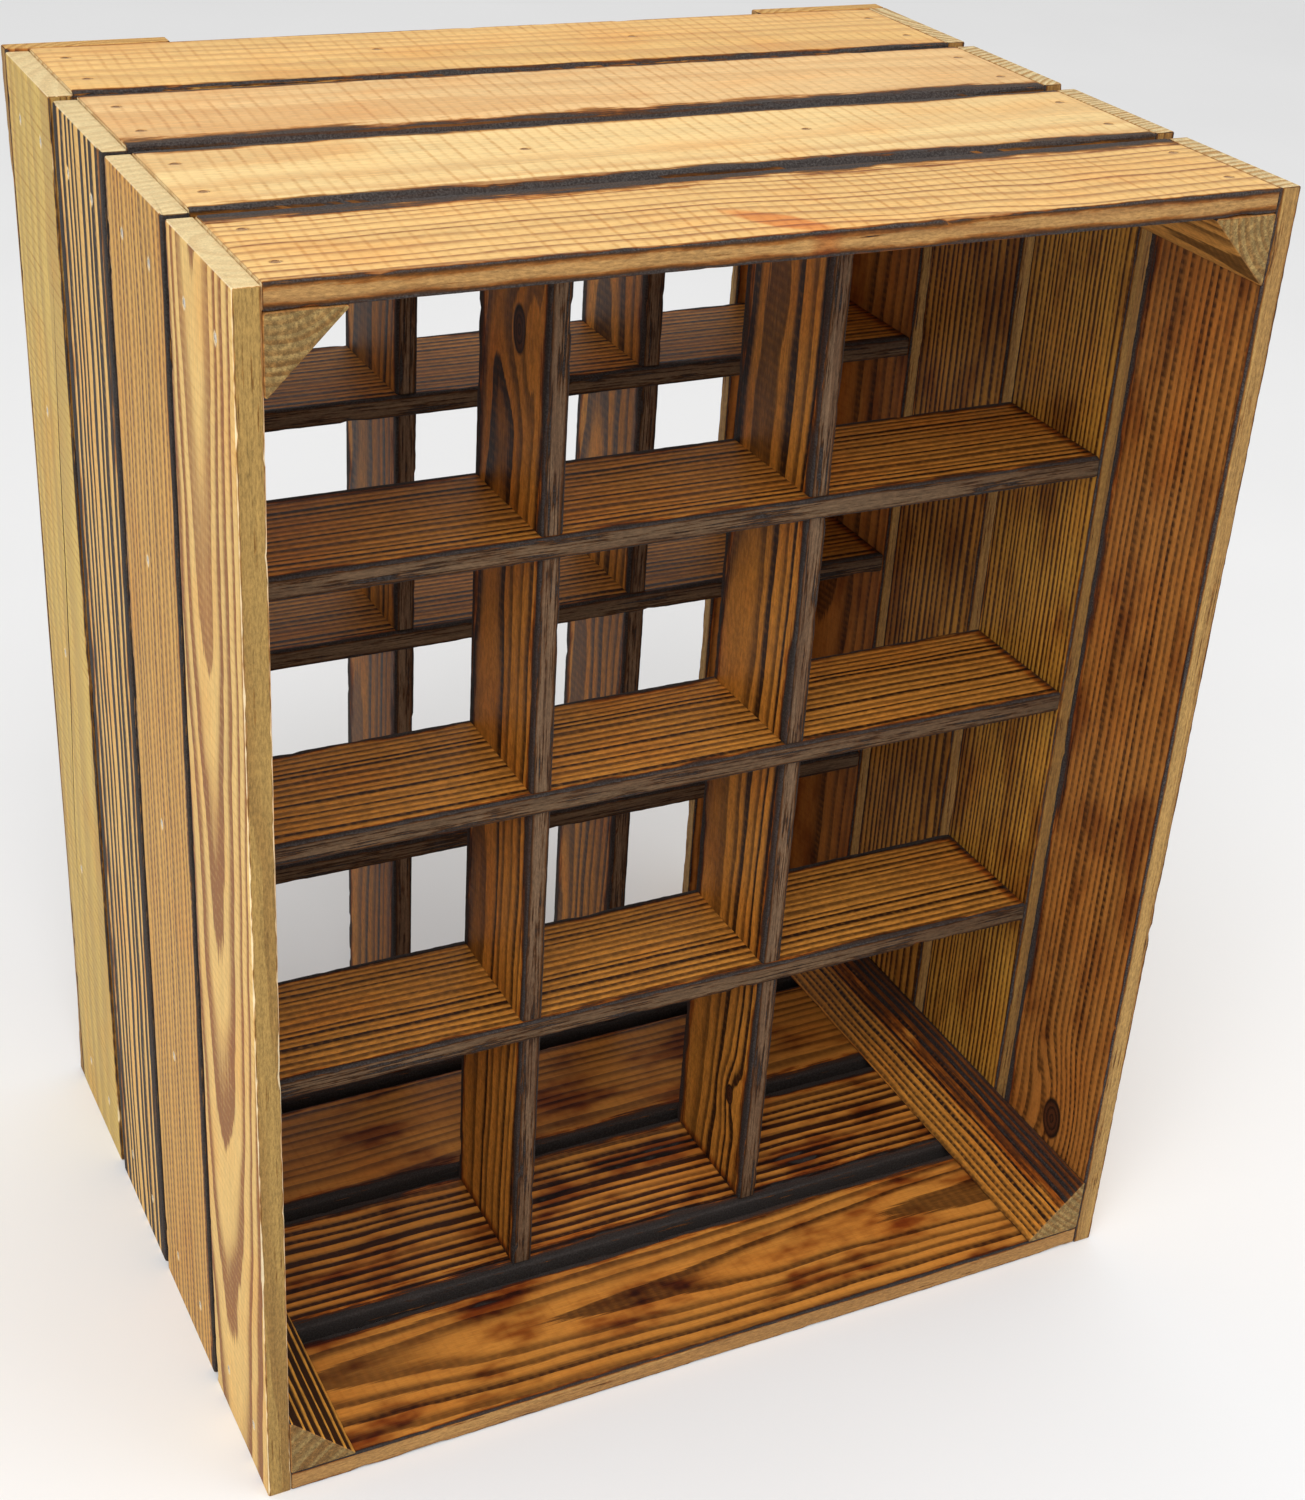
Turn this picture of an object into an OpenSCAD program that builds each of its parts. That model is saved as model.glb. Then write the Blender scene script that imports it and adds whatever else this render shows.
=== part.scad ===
// A crate-style wine rack, standing on its short side.
// Four slatted walls are nailed to triangular corner posts. Two egg-crate grids of
// half-lapped boards divide the inside into twelve bays, and two upright runners stand
// across the back edges. The origin is at the middle of the base, the front faces -Y and
// Z is up. All sizes are in millimetres.

/* [Overall] */
// Width, left to right
crate_w = 400; // [360:1:460]
// Height, standing on the short side
crate_h = 500; // [460:1:600]
// Depth of the slatted walls, front edge to back edge
wall_depth = 292; // [284:1:330]

/* [Wall slats] */
// Thickness of a wall slat
slat_t = 9.5; // [8:0.5:12]
// Gaps between the slats of the left wall, front to back
left_gaps = [3.4, 3.4, 5.2]; // [1:0.1:8]
// Gaps between the slats of the right wall, front to back
right_gaps = [6.8, 6.8, 6.8]; // [1:0.1:8]
// Gaps between the slats of the top, front to back
top_gaps = [5.8, 6.8, 5.6]; // [1:0.1:8]
// Gaps between the slats of the bottom, front to back
bottom_gaps = [6.8, 6.6, 6.8]; // [1:0.1:8]
// How far the left slats' upper ends lie below the top face
left_drop = 1; // [0:0.1:2]

/* [Corner posts] */
// Leg of a post's right-angled triangular section
post_leg = 28; // [26:1:36]

/* [Dividers] */
// Thickness of a divider board
divider_t = 9; // [7:0.5:12]
// Depth of a divider board, front to back
divider_d = 67; // [50:1:68]
// Height between the centres of two shelves
shelf_pitch = 111; // [104:1:118]
// Distance between the centres of the two uprights of a grid
upright_pitch = 114.6; // [100:0.2:130]
// How far an upright stands back from the front edge of its shelves
upright_setback = 2; // [0:0.5:4]
// Side play of a board in its half-lap slot
slot_play = 0.2; // [0:0.1:0.4]

/* [Back] */
// Thickness of a back runner
runner_t = 8; // [6:0.5:10]
// Width of a back runner
runner_w = 66; // [50:1:80]

/* [Nails] */
// Length of a nail, head included
nail_l = 20; // [18:0.5:22]
// Diameter of a nail's shank
shank_d = 1.8; // [1.4:0.1:2]
// Diameter of a nail's head
head_d = 3; // [2.6:0.1:3.4]
// Thickness of a nail's head
head_t = 0.8; // [0.5:0.1:1]
// How far a nail's head is driven below the surface
head_sink = 0.4; // [0.2:0.1:0.6]
// From a slat's end to its nails, on the top and the bottom
lid_nail_inset = 10; // [8:0.5:11]
// From a slat's end to its nails, on the left and the right
side_nail_inset = 22.5; // [21:0.5:24]
// Half the distance between the two nails of a slat's end
nail_half_gap = 16.5; // [12:0.5:20]
// How far a divider's nail sits behind the middle of its slat
divider_nail_shift = 5; // [0:1:10]
// From a runner's outer edge to the nails that hold it to the shelves
shelf_nail_inset = 45; // [40:1:55]

/* [Hidden] */
$fn = 48;
SLATS = 4;

// Places of the main planes
total_depth = wall_depth + runner_t;
y_front = -total_depth / 2;
y_wall_back = y_front + wall_depth;
y_back = total_depth / 2;
half_w = crate_w / 2;
half_w_in = half_w - slat_t;
z_floor = slat_t;
z_ceiling = crate_h - slat_t;
z_middle = crate_h / 2;
// Slat that carries the front grid, and slat that carries the rear grid
FRONT_GRID_SLAT = 2;
REAR_GRID_SLAT = 4;
slat_pitch = (wall_depth - divider_d) / (SLATS - 1);
// Cuts pass through the faces that they open by this much
over = 1;

// Wood tones
outer_tone = [0.86, 0.70, 0.44];
side_tone = [0.80, 0.66, 0.42];
inner_tone = [0.62, 0.38, 0.18];
edge_tone = [0.76, 0.60, 0.36];
back_tone = [0.70, 0.50, 0.28];
steel_tone = [0.75, 0.74, 0.70];

// Width of a wall's slats, and where slat i of it starts and has its middle
function sum_first(v, n) = n < 1 ? 0 : v[n - 1] + sum_first(v, n - 1);
function slat_w(gaps) = (wall_depth - sum_first(gaps, SLATS - 1)) / SLATS;
function slat_y(gaps, i) = y_front + (i - 1) * slat_w(gaps) + sum_first(gaps, i - 1);
function slat_mid(gaps, i) = slat_y(gaps, i) + slat_w(gaps) / 2;

// Where a grid's boards start, and where their side nails go
function grid_y(grid_slat) = y_front + (grid_slat - 1) * slat_pitch;
function grid_nail_y(grid_slat) = grid_y(grid_slat) + divider_d / 2 + divider_nail_shift;
shelf_levels = [for (k = [-1:1]) z_middle + k * shelf_pitch];
upright_places = [-upright_pitch / 2, upright_pitch / 2];

// Nails as [point on the surface, rotation that turns +Z into the driving direction]
drive_right = [0, 90, 0];
drive_left = [0, -90, 0];
drive_down = [180, 0, 0];
drive_up = [0, 0, 0];
drive_forward = [90, 0, 0];

// Pairs of nails at both ends of every slat, and one nail in every divider's end
pair = [-nail_half_gap, nail_half_gap];
grid_slats = [FRONT_GRID_SLAT, REAR_GRID_SLAT];
side_nail_z = [side_nail_inset, crate_h - side_nail_inset];
lid_nail_x = [lid_nail_inset - half_w_in, half_w_in - lid_nail_inset];
function side_nails(gaps, x, turn) = concat(
    [for (i = [1:SLATS], dy = pair, z = side_nail_z) [[x, slat_mid(gaps, i) + dy, z], turn]],
    [for (g = grid_slats, z = shelf_levels) [[x, grid_nail_y(g), z], turn]]
);
function lid_nails(gaps, z, turn) = concat(
    [for (i = [1:SLATS], dy = pair, x = lid_nail_x) [[x, slat_mid(gaps, i) + dy, z], turn]],
    [for (g = grid_slats, x = upright_places) [[x, grid_nail_y(g), z], turn]]
);
left_nails = side_nails(left_gaps, -half_w, drive_right);
right_nails = side_nails(right_gaps, half_w, drive_left);
top_nails = lid_nails(top_gaps, crate_h, drive_down);
bottom_nails = lid_nails(bottom_gaps, 0, drive_up);

// The runners are nailed into the posts, the rear edges of the side slats and the shelves
post_nail_inset = slat_t + 8;
post_nail_z = [post_nail_inset, crate_h - post_nail_inset];
edge_nail_z = [for (k = [-1.8, -0.5, 0.5, 1.8]) z_middle + k * shelf_pitch];
function runner_nails_at(inset, levels) =
    [for (x = [inset - half_w, half_w - inset], z = levels) [[x, y_back, z], drive_forward]];
back_nails = concat(
    runner_nails_at(post_nail_inset, post_nail_z),
    runner_nails_at(slat_t / 2, edge_nail_z),
    runner_nails_at(shelf_nail_inset, shelf_levels)
);

module at_nails(nails) {
    for (n = nails) translate(n[0]) rotate(n[1]) children();
}

module nail() {
    translate([0, 0, head_sink]) cylinder(d = head_d, h = head_t);
    translate([0, 0, head_sink + head_t]) cylinder(d = shank_d, h = nail_l - head_t);
}

// The hole that one nail leaves, open at the surface
module nail_hole() {
    translate([0, 0, -over]) cylinder(d = head_d, h = over + head_sink + head_t);
    cylinder(d = shank_d, h = head_sink + nail_l);
}

module board(from, size) {
    translate(from) cube(size);
}

// Upright slat of the left or right wall
module side_slat(side, gaps, i, nails) {
    x = side < 0 ? -half_w : half_w_in;
    height = side < 0 ? crate_h - left_drop : crate_h;
    color(side_tone) difference() {
        board([x, slat_y(gaps, i), 0], [slat_t, slat_w(gaps), height]);
        at_nails(nails) nail_hole();
        if (i == SLATS) at_nails(back_nails) nail_hole();
    }
}

// Level slat of the top or bottom, held between the side walls
module lid_slat(z, gaps, i, nails) {
    color(outer_tone) difference() {
        board([-half_w_in, slat_y(gaps, i), z], [2 * half_w_in, slat_w(gaps), slat_t]);
        at_nails(nails) nail_hole();
    }
}

// Triangular post that runs front to back in a corner
module corner_post(side, end) {
    z = end > 0 ? z_ceiling : z_floor;
    color(edge_tone) difference() {
        translate([side * half_w_in, y_wall_back, z])
            rotate([90, 0, 0])
                linear_extrude(wall_depth)
                    polygon([[0, 0], [-side * post_leg, 0], [0, -end * post_leg]]);
        at_nails(side < 0 ? left_nails : right_nails) nail_hole();
        at_nails(end > 0 ? top_nails : bottom_nails) nail_hole();
        at_nails(back_nails) nail_hole();
    }
}

// Shelf whose slots, open at the back, take the uprights
module shelf(grid_slat, z) {
    y = grid_y(grid_slat);
    slot_y = y + (divider_d + upright_setback) / 2;
    slot_w = divider_t + slot_play;
    color(inner_tone) difference() {
        board([-half_w_in, y, z - divider_t / 2], [2 * half_w_in, divider_d, divider_t]);
        for (x = upright_places)
            board([x - slot_w / 2, slot_y, z - divider_t], [slot_w, divider_d, 2 * divider_t]);
        at_nails(left_nails) nail_hole();
        at_nails(right_nails) nail_hole();
        if (grid_slat == REAR_GRID_SLAT) at_nails(back_nails) nail_hole();
    }
}

// Upright whose slots, open at the front, take the shelves
module upright(grid_slat, x) {
    y = grid_y(grid_slat) + upright_setback;
    depth = divider_d - upright_setback;
    slot_end = grid_y(grid_slat) + (divider_d + upright_setback) / 2;
    slot_h = divider_t + slot_play;
    color(inner_tone) difference() {
        board([x - divider_t / 2, y, z_floor], [divider_t, depth, z_ceiling - z_floor]);
        for (z = shelf_levels)
            board([x - divider_t, y - over, z - slot_h / 2], [2 * divider_t, slot_end - y + over, slot_h]);
        at_nails(top_nails) nail_hole();
        at_nails(bottom_nails) nail_hole();
    }
}

// Upright board over the rear edges of a side wall, the posts and the rear shelves
module back_runner(x) {
    color(back_tone) difference() {
        board([x, y_wall_back, 0], [runner_w, runner_t, crate_h]);
        at_nails(back_nails) nail_hole();
    }
}

module nails(list) {
    color(steel_tone) at_nails(list) nail();
}

for (i = [1:SLATS]) {
    side_slat(-1, left_gaps, i, left_nails);
    side_slat(1, right_gaps, i, right_nails);
    lid_slat(z_ceiling, top_gaps, i, top_nails);
    lid_slat(0, bottom_gaps, i, bottom_nails);
}
corner_post(-1, 1);  // post_top_left
corner_post(1, 1);  // post_top_right
corner_post(-1, -1);  // post_bottom_left
corner_post(1, -1);  // post_bottom_right
shelf(FRONT_GRID_SLAT, shelf_levels[0]);  // front_shelf_bottom
shelf(FRONT_GRID_SLAT, shelf_levels[1]);  // front_shelf_middle
shelf(FRONT_GRID_SLAT, shelf_levels[2]);  // front_shelf_top
shelf(REAR_GRID_SLAT, shelf_levels[0]);  // rear_shelf_bottom
shelf(REAR_GRID_SLAT, shelf_levels[1]);  // rear_shelf_middle
shelf(REAR_GRID_SLAT, shelf_levels[2]);  // rear_shelf_top
upright(FRONT_GRID_SLAT, upright_places[0]);  // front_upright_left
upright(FRONT_GRID_SLAT, upright_places[1]);  // front_upright_right
upright(REAR_GRID_SLAT, upright_places[0]);  // rear_upright_left
upright(REAR_GRID_SLAT, upright_places[1]);  // rear_upright_right
back_runner(-half_w);  // back_runner_left
back_runner(half_w - runner_w);  // back_runner_right
nails(left_nails);  // nails_left
nails(right_nails);  // nails_right
nails(top_nails);  // nails_top
nails(bottom_nails);  // nails_bottom
nails(back_nails);  // nails_back
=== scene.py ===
"""Looks of the crate-style wine rack.

Every board of the CAD frame is replaced by one with worn arrises, nail pits and half-lap
slots of its own. Each board's origin is its middle, with X along the grain, Y across its
width and Z out of its outer face, so one solid-wood material can follow the grain of any
board. A corner post lies square to the crate instead, and the material turns with its
slanted face. The CAD nails stay and get a metal material. Lengths are in metres in the
scene and in millimetres inside the wood material.
"""

import math

import bpy
import numpy as np
from mathutils import Matrix, Vector


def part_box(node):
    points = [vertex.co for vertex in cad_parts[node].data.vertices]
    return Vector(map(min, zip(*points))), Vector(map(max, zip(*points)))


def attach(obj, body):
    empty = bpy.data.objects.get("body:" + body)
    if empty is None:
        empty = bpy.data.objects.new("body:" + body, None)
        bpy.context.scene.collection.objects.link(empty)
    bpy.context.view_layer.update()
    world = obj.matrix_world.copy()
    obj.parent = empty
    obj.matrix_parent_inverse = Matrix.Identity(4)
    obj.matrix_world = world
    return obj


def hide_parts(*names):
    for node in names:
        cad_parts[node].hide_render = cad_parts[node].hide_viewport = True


MM = 0.001

X, Y, Z = Vector((1, 0, 0)), Vector((0, 1, 0)), Vector((0, 0, 1))

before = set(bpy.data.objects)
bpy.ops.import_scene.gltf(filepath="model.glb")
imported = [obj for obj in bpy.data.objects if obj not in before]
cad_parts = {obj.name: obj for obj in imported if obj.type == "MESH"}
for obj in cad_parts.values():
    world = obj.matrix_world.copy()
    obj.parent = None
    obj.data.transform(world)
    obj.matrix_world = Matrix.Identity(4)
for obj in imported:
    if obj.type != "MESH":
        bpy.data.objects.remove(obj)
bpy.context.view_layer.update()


# ---------------------------------------------------------------- colours

def srgb(red, green, blue):
    """A screen colour from 0 to 255 as the linear colour that a node socket takes."""
    def linear(v):
        v /= 255
        return v / 12.92 if v <= 0.04045 else ((v + 0.055) / 1.055) ** 2.4
    return (linear(red), linear(green), linear(blue), 1.0)


# ---------------------------------------------------------------- node helpers

class Graph:
    """Short calls that add nodes to a tree. Values may be sockets or plain numbers."""

    def __init__(self, tree):
        self.tree = tree

    def add(self, kind, inputs=None, **settings):
        node = self.tree.nodes.new(kind)
        for key, value in settings.items():
            setattr(node, key, value)
        for key, value in (inputs or {}).items():
            self.set(node.inputs[key], value)
        return node

    def set(self, socket, value):
        if isinstance(value, bpy.types.NodeSocket):
            self.tree.links.new(value, socket)
        else:
            socket.default_value = value

    def math(self, operation, a, b=0.0, clamp=False):
        node = self.add("ShaderNodeMath", {0: a, 1: b}, operation=operation, use_clamp=clamp)
        return node.outputs[0]

    def total(self, *values):
        result = values[0]
        for v in values[1:]:
            result = self.math("ADD", result, v)
        return result

    def product(self, *values):
        result = values[0]
        for v in values[1:]:
            result = self.math("MULTIPLY", result, v)
        return result

    def less(self, a, b):
        return self.math("SUBTRACT", a, b)

    def either(self, a, b):
        return self.math("MAXIMUM", a, b)

    def invert(self, a):
        return self.math("SUBTRACT", 1.0, a)

    def step(self, value, low, high):
        """0 below low, 1 above high, smooth between. low may be the larger one."""
        node = self.add("ShaderNodeMapRange", {"Value": value, "From Min": low, "From Max": high},
                        interpolation_type="SMOOTHSTEP")
        return node.outputs["Result"]

    def vector(self, x, y, z):
        return self.add("ShaderNodeCombineXYZ", {"X": x, "Y": y, "Z": z}).outputs[0]

    def split(self, vector):
        return self.add("ShaderNodeSeparateXYZ", {0: vector}).outputs

    def shift(self, vector, amount):
        node = self.add("ShaderNodeVectorMath", {0: vector, 1: amount}, operation="ADD")
        return node.outputs[0]

    def scaled(self, vector, factors):
        node = self.add("ShaderNodeVectorMath", {0: vector, 1: factors}, operation="MULTIPLY")
        return node.outputs[0]

    def turned(self, vector, angle):
        node = self.add("ShaderNodeVectorRotate", {"Vector": vector, "Angle": angle},
                        rotation_type="X_AXIS")
        return node.outputs[0]

    def noise(self, vector, scale=1.0, detail=2.0, rough=0.5, colour=False):
        node = self.add("ShaderNodeTexNoise", {"Vector": vector, "Scale": scale,
                                               "Detail": detail, "Roughness": rough})
        return node.outputs["Color" if colour else "Fac"]

    def random(self, value):
        node = self.add("ShaderNodeTexWhiteNoise", {"W": value}, noise_dimensions="1D")
        return node.outputs["Value"]

    def mix(self, factor, a, b, blend="MIX"):
        node = self.add("ShaderNodeMix", data_type="RGBA", blend_type=blend)
        for socket, value in zip((node.inputs[0], node.inputs[6], node.inputs[7]), (factor, a, b)):
            self.set(socket, value)
        return node.outputs[2]

    def ramp(self, factor, stops):
        node = self.add("ShaderNodeValToRGB", {0: factor})
        points = node.color_ramp.elements
        while len(points) < len(stops):
            points.new(0.5)
        for point, (place, colour) in zip(points, stops):
            point.position = place
            point.color = colour
        return node.outputs["Color"]


# ---------------------------------------------------------------- wood

# What scorching multiplies the wood's colour by, from none to full, and the tones of char
# and of the ash on it
SCORCH_STOPS = [
    (0.0, srgb(255, 255, 255)),
    (0.30, srgb(204, 168, 124)),
    (0.60, srgb(120, 100, 78)),
    (1.0, srgb(76, 66, 56)),
]
CHAR_TONE, ASH_TONE = srgb(40, 35, 33), srgb(104, 99, 97)

# Inputs of the wood group: name, kind, default. Lengths are in millimetres. Light and Dark
# are the early and late wood of the outer face, Inner Light and Inner Dark of the inner one.
# Pith is the place of the rings' middle, Tilt how fast it leaves the grain's direction and
# Ring the width of a year. Reach is how far the char goes in from a long arris, Char how much
# of a narrow side it covers and Lip how far it goes down that side from the face.
WOOD_INPUTS = [
    ("Light", "Color", srgb(222, 182, 116)),
    ("Dark", "Color", srgb(164, 112, 58)),
    ("Inner Light", "Color", srgb(200, 132, 60)),
    ("Inner Dark", "Color", srgb(96, 52, 20)),
    ("Edge", "Color", srgb(182, 144, 88)),
    ("End", "Color", srgb(240, 214, 160)),
    ("Half Length", "Float", 250.0),
    ("Half Width", "Float", 34.0),
    ("Half Thickness", "Float", 4.75),
    ("Turn", "Float", 0.0),
    ("Seed", "Float", 0.0),
    ("Pith Y", "Float", 10.0),
    ("Pith Z", "Float", -40.0),
    ("Tilt Y", "Float", 0.0),
    ("Tilt Z", "Float", 0.02),
    ("Ring", "Float", 4.0),
    ("Wobble", "Float", 2.0),
    ("Late", "Float", 0.45),
    ("Contrast", "Float", 0.9),
    ("Flames", "Float", 0.4),
    ("Soot", "Float", 0.2),
    ("Reach Plus", "Float", 3.0),
    ("Reach Minus", "Float", 3.0),
    ("Char Plus", "Float", 0.8),
    ("Char Minus", "Float", 0.8),
    ("Lip", "Float", 1.5),
    ("Char End", "Float", 0.0),
    ("Coarse", "Float", 0.25),
    ("End Ring", "Float", 0.7),
    ("Torn", "Color", srgb(172, 122, 68)),
    ("Burn", "Float", 1.0),
    ("Ash", "Float", 0.6),
    ("Ripple", "Float", 0.3),
    ("Saw", "Float", 0.25),
    ("Saw Slant", "Float", -0.06),
    ("Saw Pitch", "Float", 5.4),
    ("Knot X", "Float", 0.0),
    ("Knot Y", "Float", 0.0),
    ("Knot Size", "Float", 0.0),
    ("Blush X", "Float", 0.0),
    ("Blush Y", "Float", 0.0),
    ("Blush Size", "Float", 0.0),
]


def wood_group():
    """Solid softwood: rings round a pith, fibres, saw marks, a knot, burns and charred arrises.

    The factors that scale coordinates for a noise are features per millimetre along the
    grain, across the width and through the thickness.
    """
    tree = bpy.data.node_groups.new("softwood", "ShaderNodeTree")
    for name, kind, default in WOOD_INPUTS:
        socket = tree.interface.new_socket(name=name, in_out="INPUT", socket_type="NodeSocket" + kind)
        socket.default_value = default
    for name, kind in (("Color", "Color"), ("Roughness", "Float"), ("Normal", "Vector")):
        tree.interface.new_socket(name=name, in_out="OUTPUT", socket_type="NodeSocket" + kind)
    g = Graph(tree)
    p = g.add("NodeGroupInput").outputs
    out = g.add("NodeGroupOutput")

    # Board coordinates in millimetres, and a shifted copy that is different in every board
    place = g.turned(g.add("ShaderNodeTexCoord").outputs["Object"], p["Turn"])
    at = g.scaled(place, (1000, 1000, 1000))
    x, y, z = g.split(at)
    seeded = g.shift(at, g.vector(g.product(p["Seed"], 911.0), g.product(p["Seed"], 377.0), 0.0))

    # Which side of the board this is
    true_normal = g.add("ShaderNodeNewGeometry").outputs["True Normal"]
    own_normal = g.add("ShaderNodeVectorTransform", {0: true_normal}, vector_type="NORMAL",
                       convert_from="WORLD", convert_to="OBJECT").outputs[0]
    nx, ny, nz = g.split(g.turned(own_normal, p["Turn"]))
    on_end = g.step(g.math("ABSOLUTE", nx), 0.6, 0.8)
    on_edge = g.product(g.step(g.math("ABSOLUTE", ny), 0.75, 0.9), g.invert(on_end))
    on_inner = g.step(nz, 0.0, -0.3)
    on_face = g.math("SUBTRACT", g.invert(on_end), on_edge, clamp=True)
    plus_side = g.step(y, -0.01, 0.01)

    # Distance from the pith, which wanders, leans and is pushed aside by a knot
    wander = g.split(g.noise(g.scaled(seeded, (0.006, 0.012, 0.012)), colour=True))
    ripple = g.split(g.noise(g.scaled(seeded, (0.02, 0.06, 0.06)), colour=True))
    from_pith = []
    for axis, pith, tilt in ((y, "Pith Y", "Tilt Y"), (z, "Pith Z", "Tilt Z")):
        n = len(from_pith)
        swing = g.product(g.less(wander[n], 0.5), p["Wobble"], 4.0)
        quiver = g.product(g.less(ripple[n], 0.5), p["Wobble"], 0.6)
        lean = g.product(x, p[tilt])
        from_pith.append(g.total(g.less(axis, p[pith]), swing, quiver, lean))
    distance = g.math("SQRT", g.total(g.product(from_pith[0], from_pith[0]),
                                      g.product(from_pith[1], from_pith[1])))
    knot_size = g.either(p["Knot Size"], 0.01)
    knot_x = g.math("DIVIDE", g.less(x, p["Knot X"]), knot_size)
    knot_y = g.math("DIVIDE", g.less(y, p["Knot Y"]), knot_size)
    knot_far = g.math("SQRT", g.total(g.product(knot_x, knot_x, 0.35), g.product(knot_y, knot_y)))
    has_knot = g.step(p["Knot Size"], 0.0, 0.5)
    knot_push = g.product(g.step(knot_far, 4.5, 0.6), p["Knot Size"], 1.4, has_knot)
    knot = g.product(g.step(knot_far, 1.05, 0.85), has_knot)

    # Fibres along the grain, from broad tone bands to fine streaks
    bands = g.noise(g.scaled(seeded, (0.004, 0.07, 0.07)), detail=3.0)
    streaks = g.noise(g.scaled(seeded, (0.03, 1.1, 1.1)), detail=4.0, rough=0.65)
    hairs = g.noise(g.scaled(seeded, (0.12, 2.4, 2.4)), detail=3.0, rough=0.7)
    patches = g.noise(g.scaled(seeded, (0.018, 0.03, 0.03)), detail=2.0)
    grit = g.noise(seeded, scale=1.3, detail=3.0, rough=0.7)
    torn = g.step(g.noise(g.scaled(seeded, (0.2, 0.55, 0.55)), detail=4.0, rough=0.75), 0.34, 0.66)

    # Saw chatter: slanted lines across the board, as a soft wave and as uneven strokes
    along = g.total(x, g.product(y, p["Saw Slant"]), g.product(ripple[2], 1.2))
    saw_count = g.math("DIVIDE", along, p["Saw Pitch"])
    in_stroke = g.math("FRACT", saw_count)
    wave = g.product(g.step(in_stroke, 0.15, 0.65), g.step(in_stroke, 1.0, 0.75))
    dashes = g.step(g.noise(g.scaled(seeded, (0.22, 0.7, 0.7)), detail=2.0), 0.38, 0.62)

    # Year rings: pale early wood that darkens towards each ring's end
    width_drift = g.product(g.noise(g.vector(g.math("DIVIDE", distance, 14.0), p["Seed"], 0.0)), 2.2)
    fray = g.product(g.less(streaks, 0.5), 0.35)
    ring_count = g.total(g.math("DIVIDE", g.total(distance, knot_push), p["Ring"]), width_drift, fray)
    in_ring = g.math("FRACT", ring_count)
    ring_shade = g.random(g.total(g.math("FLOOR", ring_count), g.product(p["Seed"], 17.0)))
    late_start = g.less(0.96, p["Late"])
    late = g.product(g.step(in_ring, g.less(late_start, 0.22), g.total(late_start, 0.24)),
                     g.step(in_ring, 1.0, 0.93))
    late = g.product(late, g.total(0.55, g.product(ring_shade, 0.45)))

    # Both faces: pale and dark wood, toned by the fibres
    light = g.mix(on_inner, p["Light"], p["Inner Light"])
    dark = g.mix(on_inner, p["Dark"], p["Inner Dark"])
    chatter = g.product(wave, p["Ripple"], g.total(0.25, g.product(dashes, 0.75)))
    stripe = g.product(late, p["Contrast"], g.total(0.75, g.product(streaks, 0.5)), g.invert(chatter))
    colour = g.mix(g.math("MINIMUM", stripe, 1.0), light, dark)
    coarse = g.product(g.less(torn, 0.5), p["Coarse"])
    shade = g.total(0.39, g.product(bands, 0.30), g.product(streaks, 0.50), g.product(hairs, 0.44),
                    g.product(coarse, 0.45), g.product(chatter, -0.12))
    colour = g.mix(1.0, colour, g.vector(shade, shade, shade), "MULTIPLY")
    colour = g.mix(g.product(g.step(patches, 0.45, 0.75), 0.40), colour,
                   g.mix(1.0, colour, srgb(255, 222, 180), "MULTIPLY"))

    # Flames darken the inner face in soft tongues and leave soot in the deepest ones
    tongues = g.noise(g.scaled(seeded, (0.022, 0.05, 0.05)), detail=3.0, rough=0.6)
    tongue = g.product(g.step(tongues, 0.45, 0.68), on_inner)
    colour = g.mix(g.product(tongue, p["Flames"]), colour,
                   g.mix(1.0, colour, srgb(164, 122, 82), "MULTIPLY"))

    # Narrow sides: rough sawn, granular, one tone with faint rings
    grain = g.noise(g.scaled(seeded, (0.35, 1.3, 1.3)), detail=4.0, rough=0.75)
    fleck = g.step(grain, 0.30, 0.72)
    edge_dark = g.mix(1.0, p["Edge"], srgb(170, 130, 90), "MULTIPLY")
    edge_colour = g.mix(g.product(late, 0.40), p["Edge"], edge_dark)
    fibrous = g.product(g.less(streaks, 0.5), g.total(0.44, g.product(p["Coarse"], 1.4)))
    edge_shade = g.total(0.49, g.product(fleck, 0.50), fibrous, g.product(hairs, 0.28))
    edge_colour = g.mix(1.0, edge_colour, g.vector(edge_shade, edge_shade, edge_shade), "MULTIPLY")
    colour = g.mix(on_edge, colour, edge_colour)

    # Ends: pale cut wood whose rings show as arcs, with pores or coarse torn grain
    pores = g.step(g.noise(g.scaled(seeded, (0.4, 2.2, 2.2)), detail=3.0, rough=0.7), 0.35, 0.65)
    end_dark = g.mix(1.0, p["End"], srgb(206, 168, 120), "MULTIPLY")
    end_colour = g.mix(g.product(late, p["End Ring"]), p["End"], end_dark)
    end_shade = g.total(1.02, g.product(pores, 0.14), g.product(g.less(torn, 1.0), p["Coarse"], 0.55),
                        g.product(streaks, -0.2))
    end_colour = g.mix(1.0, end_colour, g.vector(end_shade, end_shade, end_shade), "MULTIPLY")
    colour = g.mix(on_end, colour, end_colour)

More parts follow.
